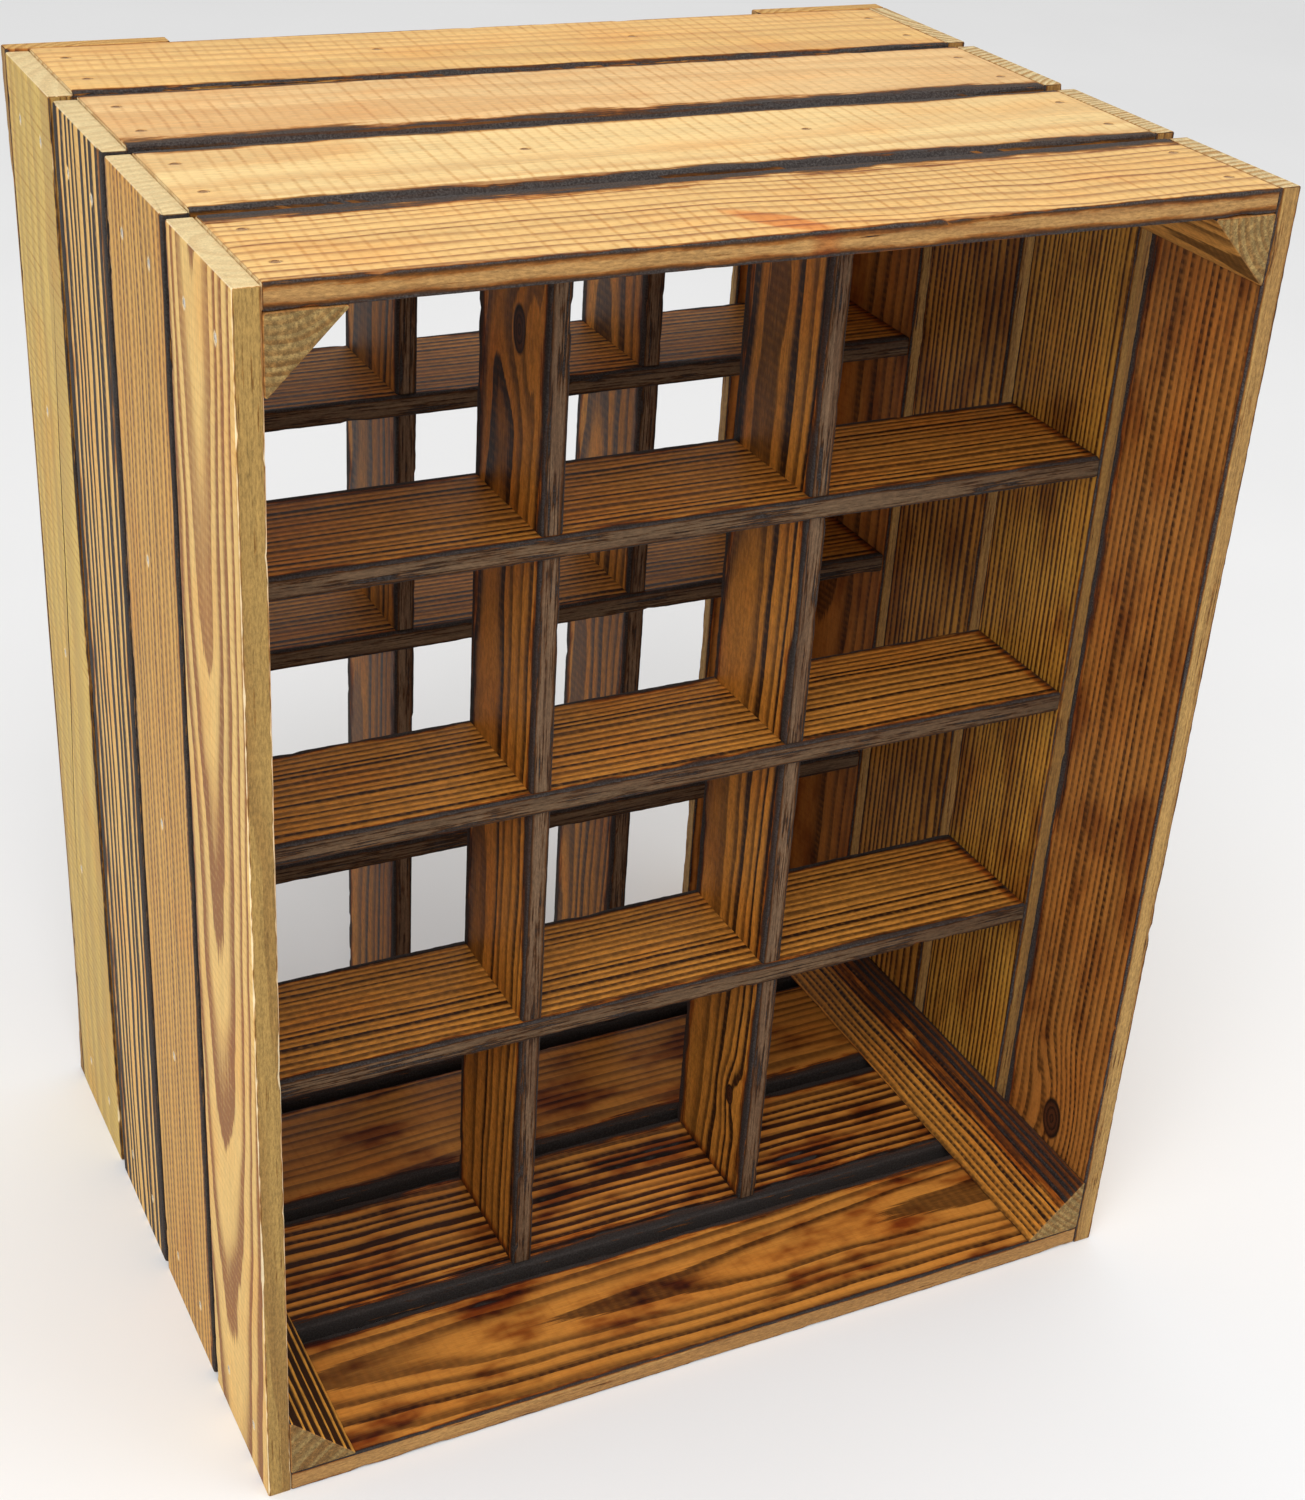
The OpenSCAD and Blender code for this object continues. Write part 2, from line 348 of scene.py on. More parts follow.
    # Knot, and a reddish leaf-shaped patch of resin wood
    knot_rings = g.math("FRACT", g.total(g.product(knot_far, 3.0), g.product(streaks, 0.6)))
    knot_colour = g.mix(g.step(knot_rings, 0.3, 0.9), srgb(78, 42, 22), srgb(36, 19, 11))
    knot_rim = g.product(g.step(knot_far, 0.55, 0.90),
                         g.step(g.total(knot_y, g.product(knot_x, 0.4), streaks), -0.3, 0.9))
    knot_colour = g.mix(knot_rim, knot_colour, srgb(26, 15, 9))
    colour = g.mix(g.product(knot, on_face), colour, knot_colour)
    blush_size = g.either(p["Blush Size"], 0.01)
    off_x, off_y = g.less(x, p["Blush X"]), g.less(y, p["Blush Y"])
    blush_long = g.math("DIVIDE", g.less(g.product(off_x, 0.67), g.product(off_y, 0.74)), blush_size)
    blush_wide = g.math("DIVIDE", g.total(g.product(off_x, 0.74), g.product(off_y, 0.67)),
                        g.product(blush_size, 0.32))
    blush_far = g.total(g.math("ABSOLUTE", blush_long), g.product(blush_wide, blush_wide),
                        g.product(streaks, 0.3))
    blush = g.product(g.step(blush_far, 1.35, 0.7), g.step(p["Blush Size"], 0.0, 0.5))
    colour = g.mix(g.product(blush, 0.9), colour, g.mix(1.0, colour, srgb(240, 190, 150), "MULTIPLY"))

    # Saw marks: the strokes show as broken brown lines
    stroke = g.product(g.step(in_stroke, 0.56, 0.76), g.step(in_stroke, 1.0, 0.82))
    stroke = g.product(stroke, g.total(0.4, g.product(g.random(g.math("FLOOR", saw_count)), 0.6)))
    cover = g.step(g.noise(g.scaled(seeded, (0.012, 0.05, 0.05)), detail=3.0), 0.30, 0.60)
    saw = g.product(stroke, g.total(0.55, g.product(dashes, 0.45)), g.total(0.3, g.product(cover, 0.7)),
                    p["Saw"], on_face)
    colour = g.mix(saw, colour, g.mix(1.0, colour, srgb(214, 178, 130), "MULTIPLY"))

    # Torn brown wood in the nail pits and where an arris is knocked away
    to_face = g.less(p["Half Thickness"], g.math("ABSOLUTE", z))
    torn_out = g.product(g.step(to_face, 0.13, 0.3), on_face)
    torn_colour = g.mix(1.0, p["Torn"], g.vector(shade, shade, shade), "MULTIPLY")
    colour = g.mix(g.product(torn_out, 0.85), colour, torn_colour)

    # Char: along the long arrises, on the narrow sides and, where asked for, at the ends
    to_side = g.less(p["Half Width"], g.math("ABSOLUTE", y))
    to_end = g.less(p["Half Length"], g.math("ABSOLUTE", x))
    lick = g.noise(g.scaled(seeded, (0.03, 0.12, 0.12)), detail=5.0, rough=0.62)
    fringe = g.product(g.total(lick, g.product(g.less(streaks, 0.5), 0.5)), 2.2)
    minus_side = g.invert(plus_side)
    reach_here = g.total(g.product(plus_side, p["Reach Plus"]), g.product(minus_side, p["Reach Minus"]))
    reach = g.either(g.product(reach_here, g.less(fringe, 0.25)), 0.02)
    char_face = g.product(g.step(to_side, reach, g.product(reach, 0.3)), on_face,
                          g.total(0.82, g.product(late, 0.18)),
                          g.math("MINIMUM", reach_here, 1.0), p["Burn"])
    cover_here = g.total(g.product(plus_side, p["Char Plus"]), g.product(minus_side, p["Char Minus"]))
    bare = g.noise(g.scaled(seeded, (0.035, 0.16, 0.16)), detail=4.0, rough=0.65)
    bare = g.total(g.product(g.less(bare, 0.14), 1.4), g.product(g.less(streaks, 0.5), 2.0))
    char_edge = g.product(g.step(bare, g.total(cover_here, 0.22), g.less(cover_here, 0.22)), on_edge)
    char_lip = g.product(g.step(to_face, g.product(p["Lip"], fringe), 0.0), on_edge, 0.9)
    char_end = g.product(g.step(to_end, 7.0, 0.0), p["Char End"], fringe, on_face)
    soot = g.product(g.step(tongues, 0.56, 0.76), p["Soot"], g.total(0.15, late), on_inner, 1.6)
    char = g.either(g.either(char_face, char_edge), g.either(char_end, g.either(char_lip, soot)))
    char = g.math("MULTIPLY", char, g.total(0.70, g.product(streaks, 0.6)), clamp=True)
    colour = g.mix(1.0, colour, g.ramp(char, SCORCH_STOPS), "MULTIPLY")
    ash = g.mix(g.product(g.step(grit, 0.32, 0.75), p["Ash"]), CHAR_TONE, ASH_TONE)
    colour = g.mix(g.product(g.step(char, 0.52, 0.88), 0.88), colour, ash)

    # Relief in millimetres: late wood stands proud, saw marks and pores are cut in
    relief = g.total(
        g.product(late, 0.10),
        g.product(streaks, 0.14),
        g.product(hairs, 0.06),
        g.product(saw, -0.12),
        g.product(chatter, on_face, -0.10),
        g.product(grit, g.total(0.03, g.product(char, 0.12))),
        g.product(g.total(g.product(pores, 0.10), g.product(torn, p["Coarse"], 0.5)), on_end),
        g.product(grain, on_edge, 0.45),
        g.product(knot, 0.15),
    )
    bump = g.add("ShaderNodeBump", {"Strength": 0.9, "Distance": 1.0, "Height": g.product(relief, MM)})
    rough = g.total(0.54, g.product(streaks, 0.14), g.product(char, 0.24), g.product(on_end, 0.15),
                    g.product(on_edge, 0.15), g.product(late, -0.10))

    g.set(out.inputs["Color"], colour)
    g.set(out.inputs["Roughness"], rough)
    g.set(out.inputs["Normal"], bump.outputs[0])
    return tree


def wood(name, half_size, **values):
    """One board's own material: the wood group with this board's values."""
    material = bpy.data.materials.new(name)
    material.use_nodes = True
    tree = material.node_tree
    tree.nodes.clear()
    g = Graph(tree)
    group = g.add("ShaderNodeGroup", node_tree=WOOD)
    for key, value in zip(("Half Length", "Half Width", "Half Thickness"), half_size):
        group.inputs[key].default_value = value / MM
    for key, value in values.items():
        group.inputs[key.replace("_", " ").title()].default_value = value
    shader = g.add("ShaderNodeBsdfPrincipled", {"Specular IOR Level": 0.2})
    for key, source in (("Base Color", "Color"), ("Roughness", "Roughness"), ("Normal", "Normal")):
        g.set(shader.inputs[key], group.outputs[source])
    g.set(g.add("ShaderNodeOutputMaterial").inputs[0], shader.outputs[0])
    return material


WOOD = wood_group()


# ---------------------------------------------------------------- board shapes

# Spacing of the mesh along a board and across its faces, the strip beside each arris, the
# facets of an arris and the sizes of the rings that fill an end
STATION = 3 * MM
FACE_STEP = 5 * MM
SHOULDER = 1.5 * MM
ARC_STEPS = 3
CAP_RINGS = (0.66, 0.33)

# Periods of the unevenness along a board
CHIP_PERIOD, CHIP_FINE_PERIOD, CHIP_GROUP_PERIOD = 7 * MM, 3 * MM, 45 * MM
WORN_PERIOD, WORN_FINE_PERIOD = 60 * MM, 9 * MM
SIDE_PERIOD = 70 * MM
FACE_PERIOD, FACE_DIP = 25 * MM, 0.12 * MM
# The wavy narrow side fades out this far from the side, over this distance
SIDE_BELT, SIDE_FADE = 3 * MM, 2 * MM

# Random values a side in the table behind the unevenness
TABLE = 64
# Edges that turn by more than this stay sharp in the shading
SHARP_ANGLE = math.radians(38)


def uneven(along, across, period, seed):
    """Smooth random values from 0 to 1 over a plane, a new one every period."""
    table = np.random.default_rng(seed).random((TABLE, TABLE))
    u, v = np.broadcast_arrays(np.asarray(along) / period, np.asarray(across) / period)
    iu, iv = np.floor(u).astype(int), np.floor(v).astype(int)
    fu, fv = u - iu, v - iv
    fu, fv = fu * fu * (3 - 2 * fu), fv * fv * (3 - 2 * fv)
    iu, iv, next_u, next_v = iu % TABLE, iv % TABLE, (iu + 1) % TABLE, (iv + 1) % TABLE
    near = table[iu, iv] * (1 - fu) + table[next_u, iv] * fu
    far = table[iu, next_v] * (1 - fu) + table[next_u, next_v] * fu
    return near * (1 - fv) + far * fv


def outline(corners, radius):
    """A convex outline with soft corners: points, outward normals and how each lies to a corner.

    For each point, the third list holds its nearest corner, that corner's outward bisector
    and the point's depth below the corner's rounded top, along the bisector.
    """
    points, normals, to_corner = [], [], []
    count = len(corners)
    arcs = []
    for i in range(count):
        before, here, after = (Vector(corners[(i + k) % count]) for k in (-1, 0, 1))
        arriving, leaving = (here - before).normalized(), (after - here).normalized()
        first, last = Vector((arriving.y, -arriving.x)), Vector((leaving.y, -leaving.x))
        centre = here - (first + last) * radius / (1 + first.dot(last))
        bisector = (first + last).normalized()
        arcs.append((centre, first, last, bisector, (centre + bisector * radius).dot(bisector)))

    def note(point, normal, corner):
        bisector, top = arcs[corner][3:]
        points.append(point)
        normals.append(normal)
        to_corner.append((corner, bisector, top - point.dot(bisector)))

    for i, (centre, first, last, _, _) in enumerate(arcs):
        for k in range(ARC_STEPS + 1):
            normal = first.slerp(last, k / ARC_STEPS)
            note(centre + normal * radius, normal, i)
        start, end = points[-1], arcs[(i + 1) % count][0] + last * radius
        run = (end - start).length
        inner = max(1, round((run - 2 * SHOULDER) / FACE_STEP))
        for k in range(inner + 1):
            place = SHOULDER + (run - 2 * SHOULDER) * k / inner
            note(start.lerp(end, place / run), last, i if place < run / 2 else (i + 1) % count)
    return np.array(points), np.array(normals), to_corner


def stations(half_length, radius):
    """Places along a board with how far the section is drawn in there, for soft end arrises."""
    turn = [math.radians(90 * k / ARC_STEPS) for k in range(ARC_STEPS)]
    soft = [(-half_length + radius * (1 - math.cos(a)), radius * (1 - math.sin(a))) for a in turn]
    plain = half_length - radius
    count = max(2, round(2 * plain / STATION))
    body = [(-plain + 2 * plain * k / count, 0.0) for k in range(count + 1)]
    return np.array(soft + body + [(-place, inset) for place, inset in soft[::-1]])


def board_mesh(name, corners, half_length, seed, radius=0.8 * MM, chips=0.9 * MM, wave=0.35 * MM,
               wanes=None):
    """A sawn board: a section run along the grain, with wavy sides and chipped arrises.

    wanes gives the depth to which a corner, by its number, is worn or burnt away.
    """
    points, normals, to_corner = outline(corners, radius)
    places = stations(half_length, radius)
    along = places[:, 0][:, None]
    ring = len(points)
    full = 1 - places[:, 1] / radius
    cuts = []
    for corner in range(len(corners)):
        lane = seed * 31 + corner
        chip = np.clip(uneven(along, 0, CHIP_PERIOD, lane) - 0.55, 0, 1) / 0.45
        chip *= np.clip(uneven(along, 0, CHIP_GROUP_PERIOD, lane + 9) - 0.35, 0, 1) / 0.65
        cut = chips * (chip + 0.25 * uneven(along, 0, CHIP_FINE_PERIOD, lane + 5))
        depth = (wanes or {}).get(corner, 0.0)
        worn = (0.8 * uneven(along, 0, WORN_PERIOD, lane + 3)
                + 0.2 * uneven(along, 0, WORN_FINE_PERIOD, lane + 4))
        cuts.append((cut + depth * worn * (1 - (along / half_length) ** 4))[:, 0])
    half_width = max(abs(points[:, 0]))
    section = np.empty((len(places), ring, 2))
    for k, (corner, bisector, depth) in enumerate(to_corner):
        shift = np.clip(cuts[corner] - depth, 0, None)
        dip = uneven(along, points[k].sum(), FACE_PERIOD, seed * 7)[:, 0]
        inset = places[:, 1] + FACE_DIP * full * dip
        section[:, k] = points[k] - np.outer(inset, normals[k]) - np.outer(shift, bisector)
        side = 1 if points[k][0] > 0 else -1
        beside = np.clip((abs(points[k][0]) - half_width + SIDE_BELT) / SIDE_FADE, 0, 1)
        sway = uneven(along, 0, SIDE_PERIOD, seed * 13 + side + 1)[:, 0]
        section[:, k, 0] -= side * wave * beside * sway
    rows = len(places)
    centre = points.mean(axis=0)
    verts = np.concatenate([np.repeat(along, ring, axis=1)[:, :, None], section], axis=2).reshape(-1, 3)
    faces = []
    for r in range(rows - 1):
        for k in range(ring):
            a, b = r * ring + k, r * ring + (k + 1) % ring
            faces.append((a, b, b + ring, a + ring))
    verts = [tuple(v) for v in verts]
    for row, flip in ((0, True), (rows - 1, False)):
        outer = [row * ring + k for k in range(ring)]
        for share in CAP_RINGS:
            inner = []
            for k in range(ring):
                y, z = centre + (section[row, k] - centre) * share
                inner.append(len(verts))
                verts.append((places[row, 0], y, z))
            for k in range(ring):
                quad = (outer[k], outer[(k + 1) % ring], inner[(k + 1) % ring], inner[k])
                faces.append(quad[::-1] if flip else quad)
            outer = inner
        middle = len(verts)
        verts.append((places[row, 0], *centre))
        for k in range(ring):
            wedge = (outer[k], outer[(k + 1) % ring], middle)
            faces.append(wedge[::-1] if flip else wedge)
    mesh = bpy.data.meshes.new(name)
    mesh.from_pydata(verts, [], faces)
    mesh.validate()
    return mesh


def put(mesh, name, middle, grain, outward):
    """An object with X along the grain and Z outward."""
    across = outward.cross(grain)
    turn = Matrix((grain, across, outward)).transposed().to_4x4()
    obj = bpy.data.objects.new(name, mesh)
    bpy.context.scene.collection.objects.link(obj)
    obj.matrix_world = Matrix.Translation(middle) @ turn
    return obj


# ---------------------------------------------------------------- cutting

# Vertices this near the outermost plane belong to a head's face, and this near each other
# to the same head
HEAD_PLANE, HEAD_SPREAD = 0.05 * MM, 4 * MM

# A nail pit, seen from the head's outer face: height, half length and half width of each level
PIT_SIDES = 18
PIT_BORE = ((-0.85 * MM, 1.52 * MM, 1.52 * MM), (0.1 * MM, 1.7 * MM, 1.6 * MM))
PIT_MOUTH = ((0.4 * MM, 2.3 * MM, 1.8 * MM), (1.2 * MM, 3.1 * MM, 2.2 * MM))
PIT_TEAR = 0.8


def nail_heads(node, outward):
    """The middle of every nail head's outer face, read from the CAD nails."""
    verts = [v.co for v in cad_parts[node].data.vertices]
    top = max(v.dot(outward) for v in verts)
    heads = []
    for v in verts:
        if top - v.dot(outward) > HEAD_PLANE:
            continue
        for head in heads:
            if (head[0] - v).length < HEAD_SPREAD:
                head.append(v)
                break
        else:
            heads.append([v])
    return [sum(head, Vector()) / len(head) for head in heads]


def pit(verts, faces, centre, outward, grain, rng, flare):
    """Adds one torn nail pit to a cutter: wider along the grain and open at the surface.

    flare widens the pit's mouth.
    """
    across = outward.cross(grain)
    first = len(verts)
    mouth = tuple((height, long * flare, short * flare) for height, long, short in PIT_MOUTH)
    levels = PIT_BORE + mouth
    tear = rng.uniform(0.0, PIT_TEAR, PIT_SIDES)
    for level, (height, long, short) in enumerate(levels):
        for k in range(PIT_SIDES):
            angle = 2 * math.pi * k / PIT_SIDES
            torn = 1 + (tear[k] * abs(math.cos(angle)) if level >= len(PIT_BORE) else 0)
            offset = grain * math.cos(angle) * long * torn + across * math.sin(angle) * short
            verts.append(centre + offset + outward * height)
    for level in range(len(levels) - 1):
        for k in range(PIT_SIDES):
            a = first + level * PIT_SIDES + k
            b = first + level * PIT_SIDES + (k + 1) % PIT_SIDES
            faces.append((a, b, b + PIT_SIDES, a + PIT_SIDES))
    faces.append(tuple(first + k for k in range(PIT_SIDES))[::-1])
    faces.append(tuple(first + (len(levels) - 1) * PIT_SIDES + k for k in range(PIT_SIDES)))


def block(verts, faces, low, high):
    """Adds a box to a cutter."""
    first = len(verts)
    ends = (low, high)
    for k in range(8):
        verts.append(Vector((ends[k & 1].x, ends[k >> 1 & 1].y, ends[k >> 2].z)))
    for quad in ((0, 2, 3, 1), (4, 5, 7, 6), (0, 1, 5, 4), (2, 6, 7, 3), (0, 4, 6, 2), (1, 3, 7, 5)):
        faces.append(tuple(first + k for k in quad))


def split_along(verts, faces, path, outward, width, depth):
    """Adds a thin wedge that follows a path, for a drying split."""
    first = len(verts)
    count = len(path)
    for i, point in enumerate(path):
        ahead = path[min(i + 1, count - 1)] - path[max(i - 1, 0)]
        side = outward.cross(ahead).normalized()
        open_by = width * max(0.15, math.sin(math.pi * i / (count - 1)))
        verts.append(point - outward * depth)
        verts.append(point + side * open_by / 2 + outward * MM)
        verts.append(point - side * open_by / 2 + outward * MM)
    for i in range(count - 1):
        a = first + 3 * i
        for j, k in ((0, 1), (1, 2), (2, 0)):
            faces.append((a + j, a + k, a + k + 3, a + j + 3))
    faces.append((first, first + 2, first + 1))
    last = first + 3 * (count - 1)
    faces.append((last, last + 1, last + 2))


def carve(board, verts, faces):
    """Takes a cutter's closed shapes out of a board."""
    if not faces:
        return
    mesh = bpy.data.meshes.new("cutter")
    mesh.from_pydata(verts, [], faces)
    mesh.validate()
    cutter = bpy.data.objects.new("cutter", mesh)
    bpy.context.scene.collection.objects.link(cutter)
    modifier = board.modifiers.new("cut", "BOOLEAN")
    modifier.operation = "DIFFERENCE"
    modifier.solver = "MANIFOLD"
    modifier.object = cutter
    bpy.context.view_layer.update()
    depsgraph = bpy.context.evaluated_depsgraph_get()
    shaped = bpy.data.meshes.new_from_object(board.evaluated_get(depsgraph))
    board.modifiers.clear()
    board.data = shaped
    bpy.data.objects.remove(cutter)


# ---------------------------------------------------------------- the rack's boards

# How nail pits are torn, and how much wider than usual they are in a wall
RNG = np.random.default_rng(7)
FLARES = {"left": 1.25, "top": 1.05}
# The middle of every nail head, and the way out, by wall
HEADS = {
    "left": (nail_heads("nails_left", -X), -X),
    "right": (nail_heads("nails_right", X), X),
    "top": (nail_heads("nails_top", Z), Z),
    "bottom": (nail_heads("nails_bottom", -Z), -Z),
    "back": (nail_heads("nails_back", Y), Y),
}


def sided(look, across):
    """Turns a look's _front and _back values into those of the board's own +Y and -Y sides."""
    plus, minus = ("_back", "_front") if across.y > 0 else ("_front", "_back")
    return {key.replace(plus, "_plus").replace(minus, "_minus"): value for key, value in look.items()}


def finish_board(board, node, look, half_size, seed):
    """Shading, material and place in the frame of one board."""
    mesh = board.data
    mesh.polygons.foreach_set("use_smooth", [True] * len(mesh.polygons))
    mesh.set_sharp_from_angle(angle=SHARP_ANGLE)
    mesh.materials.clear()
    mesh.materials.append(wood(node + "_wood", half_size, seed=float(seed), **look))
    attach(board, "root")
    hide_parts(node)


def plank(node, grain, outward, slot, look, seed, wall=None, slots=(), splits=(), **wear):
    """Replaces one straight CAD board by a worn one with its nail pits, slots and splits."""
    low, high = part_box(node)
    middle, size = (low + high) / 2, high - low
    across = outward.cross(grain)
    half = [abs(size.dot(axis)) / 2 for axis in (grain, across, outward)]
    corners = [(-half[1], -half[2]), (half[1], -half[2]), (half[1], half[2]), (-half[1], half[2])]
    mesh = board_mesh(node, corners, half[0], seed, **wear)
    board = put(mesh, node + "_board", middle, grain, outward)
    verts, faces = [], []
    if wall:
        for centre in HEADS[wall][0]:
            inside = all(low[i] - MM < centre[i] < high[i] + MM for i in range(3))
            if inside:
                pit(verts, faces, centre, outward, grain, RNG, FLARES.get(wall, 1.0))
    for slot_low, slot_high in slots:
        block(verts, faces, slot_low, slot_high)
    for path, width, depth in splits:
        split_along(verts, faces, path, outward, width, depth)
    carve(board, verts, faces)
    finish_board(board, node, sided(look, across), half, seed)


def post(node, side, end, look, seed):
    """Replaces a triangular corner post.

    The object lies square to the crate, so that its box does too, and the wood group turns
    its coordinates to have Z out of the slanted face.
    """
    low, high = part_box(node)
    leg, half_length = high.x - low.x, (high.y - low.y) / 2
    half_face = leg / math.sqrt(2)
    outward = Vector((-side, 0, -end)).normalized()
    corner = Vector((high.x if side > 0 else low.x, (low.y + high.y) / 2,
                     high.z if end > 0 else low.z))
    slanted = [(0, -half_face / 2), (half_face, half_face / 2), (-half_face, half_face / 2)]
    turn = side * end * math.pi / 4
    corners = [tuple(Matrix.Rotation(turn, 2) @ Vector(point)) for point in slanted]
    mesh = board_mesh(node, corners, half_length, seed, radius=0.6 * MM, wave=0.0)
    board = put(mesh, node + "_board", corner + outward * half_face / 2, Y, Vector((0, 0, -end)))
    look = dict(look, turn=-turn)
    finish_board(board, node, look, (half_length, half_face, half_face / 2), seed)


# Play beside a board in its slot, and how far the cutter runs past the slotted board
SLOT_PLAY, SLOT_OVERRUN = 0.1 * MM, 5 * MM


def half_laps(node, crossing, along_x):
    """Slot boxes of a shelf, which is open at the back, or an upright, open at the front."""
    low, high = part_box(node)
    boxes = []
    for other in crossing:
        o_low, o_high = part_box(other)
        overlap_mid = (max(low.y, o_low.y) + min(high.y, o_high.y)) / 2
        if along_x:
            boxes.append((Vector((o_low.x - SLOT_PLAY, overlap_mid, low.z - SLOT_OVERRUN)),
                          Vector((o_high.x + SLOT_PLAY, high.y + SLOT_OVERRUN,
                                  high.z + SLOT_OVERRUN))))
        else:
            boxes.append((Vector((low.x - SLOT_OVERRUN, low.y - SLOT_OVERRUN, o_low.z - SLOT_PLAY)),
                          Vector((high.x + SLOT_OVERRUN, overlap_mid, o_high.z + SLOT_PLAY))))
    return boxes


# Looks: values of the wood group that differ from its defaults. Names that end in _front
# and _back belong to the side of the board that faces that way.
GAP = dict(char_front=0.95, char_back=0.95, reach_front=4.5, reach_back=5.0)
HONEY = dict(GAP, light=srgb(240, 202, 136), dark=srgb(204, 150, 84), saw=0.65, contrast=0.6, late=0.4,
             edge=srgb(196, 148, 78), inner_light=srgb(186, 124, 58), reach_front=3.0, reach_back=6.0,
             torn=srgb(156, 106, 60))
INSIDE = dict(light=srgb(196, 132, 54), dark=srgb(46, 24, 10), inner_light=srgb(196, 132, 54),
              inner_dark=srgb(46, 24, 10), late=0.5, wobble=1.5, char_end=0.5, flames=1.0, ripple=0.2,
              contrast=1.1, saw_pitch=4.4)

TOP_LOOKS = [
    dict(HONEY, light=srgb(232, 188, 118), dark=srgb(146, 90, 42), pith_y=-58, pith_z=-26, ring=5.4,
         late=0.30, contrast=1.0, saw=0.75, wobble=4.5, char_front=0.0, lip=3.4, reach_front=1.6,
         reach_back=14.0, edge=srgb(176, 134, 80), blush_x=-9.0, blush_y=-21.0, blush_size=24.0),
    dict(HONEY, light=srgb(236, 202, 140), pith_y=20, pith_z=-60, ring=6.5, char_front=0.35, lip=4.0,
         reach_front=7.0),
    dict(HONEY, light=srgb(228, 188, 130), pith_y=-10, pith_z=-45, ring=7.0, char_front=0.6,
         reach_front=13.0, lip=4.5, reach_back=4.0),
    dict(HONEY, light=srgb(230, 186, 116), dark=srgb(188, 130, 68), pith_y=-30, pith_z=-40, ring=5.0,
         char_front=0.6, char_back=0.3, reach_front=4.0, reach_back=2.0),
]
LEFT = dict(GAP, end_ring=0.25, ash=0.35, saw=0.4, saw_pitch=4.0, torn=srgb(246, 226, 184))
LEFT_LOOKS = [
    dict(LEFT, light=srgb(230, 190, 116), dark=srgb(146, 92, 38), pith_y=6, pith_z=-22, tilt_z=-0.06,
         ring=6.8, late=0.42, wobble=3.0, contrast=1.6, char_front=0.0, lip=0.8, reach_front=0.8,
         reach_back=2.5, edge=srgb(170, 136, 76)),
    dict(LEFT, light=srgb(216, 166, 86), dark=srgb(110, 70, 30), pith_y=-70, pith_z=-10, ring=4.6,
         late=0.5, contrast=1.1, char_front=0.8, reach_front=4.0, reach_back=1.5, wobble=2.5,
         ripple=0.6),
    dict(LEFT, light=srgb(232, 184, 106), dark=srgb(34, 18, 6), pith_y=-70, pith_z=-16, ring=6.6,
         contrast=2.4, late=0.50, wobble=2.0, reach_front=9.0, reach_back=11.0),
    dict(LEFT, light=srgb(212, 180, 100), dark=srgb(160, 122, 54), pith_y=-40, pith_z=-60, ring=6.0,
         contrast=0.6, char_front=0.3, char_back=0.1, reach_front=1.5, reach_back=1.2,
         edge=srgb(190, 150, 80), saw=0.8),
]
RIGHT = dict(char_front=0.1, char_back=0.85, lip=1.6, edge=srgb(166, 122, 62), flames=0.6, ripple=0.4,
             saw_pitch=3.8, coarse=0.5, end_ring=1.0)
RIGHT_LOOKS = [
    dict(RIGHT, light=srgb(226, 186, 118), dark=srgb(166, 112, 58), inner_light=srgb(176, 114, 50),
         inner_dark=srgb(54, 28, 10), pith_y=74, pith_z=12, ring=4.2, contrast=1.0, wobble=0.8,
         reach_front=2.6, reach_back=8.0, edge=srgb(176, 138, 80), ripple=0.52, knot_x=-199.0,
         knot_y=3.0, knot_size=7.0),
    dict(RIGHT, light=srgb(212, 164, 94), dark=srgb(104, 66, 32), inner_light=srgb(192, 140, 54),
         inner_dark=srgb(78, 46, 12), pith_y=70, pith_z=16, ring=2.8, contrast=1.5, reach_front=2.0,
         wobble=1.0),
    dict(RIGHT, light=srgb(222, 178, 106), dark=srgb(58, 36, 18), inner_light=srgb(192, 136, 54),
         inner_dark=srgb(74, 42, 12), pith_y=60, pith_z=30, ring=3.6, contrast=1.5, reach_front=2.0,
         wobble=1.0),
    dict(RIGHT, light=srgb(220, 180, 106), dark=srgb(150, 104, 52), inner_light=srgb(172, 110, 46),
         inner_dark=srgb(52, 28, 12), pith_y=-20, pith_z=50, tilt_y=0.02, ring=4.4, char_back=0.2),
]
FLAMED = dict(light=srgb(230, 188, 124), dark=srgb(180, 124, 66), inner_light=srgb(200, 132, 54),
              inner_dark=srgb(56, 28, 12), edge=srgb(180, 136, 80), char_front=0.95, char_back=0.95,
              late=0.42, wobble=2.0, ripple=0.15, saw_pitch=4.6, ash=0.25)
BOTTOM_LOOKS = [
    dict(FLAMED, pith_y=-6, pith_z=16, tilt_z=0.035, ring=5.5, flames=1.0, soot=0.5, contrast=1.0,
         char_front=0.0, reach_front=3.0, lip=1.2, reach_back=6.0),
    dict(FLAMED, pith_y=-44, pith_z=12, ring=5.0, flames=0.9, soot=0.6, contrast=1.2, late=0.55,
         reach_front=12.0, reach_back=7.0),
    dict(FLAMED, pith_y=40, pith_z=20, ring=5.0, flames=0.8, soot=0.4, reach_front=9.0),
    dict(FLAMED, pith_y=10, pith_z=30, ring=6.0, flames=0.8, soot=0.4, reach_front=9.0, char_back=0.3),
]
POST = dict(INSIDE, light=srgb(206, 146, 62), dark=srgb(44, 24, 12), ring=3.2, late=0.5, reach_plus=2.0,
            reach_minus=2.0, char_plus=0.9, char_minus=0.9, end=srgb(178, 146, 90), coarse=1.0,
            char_end=0.0, burn=0.75)
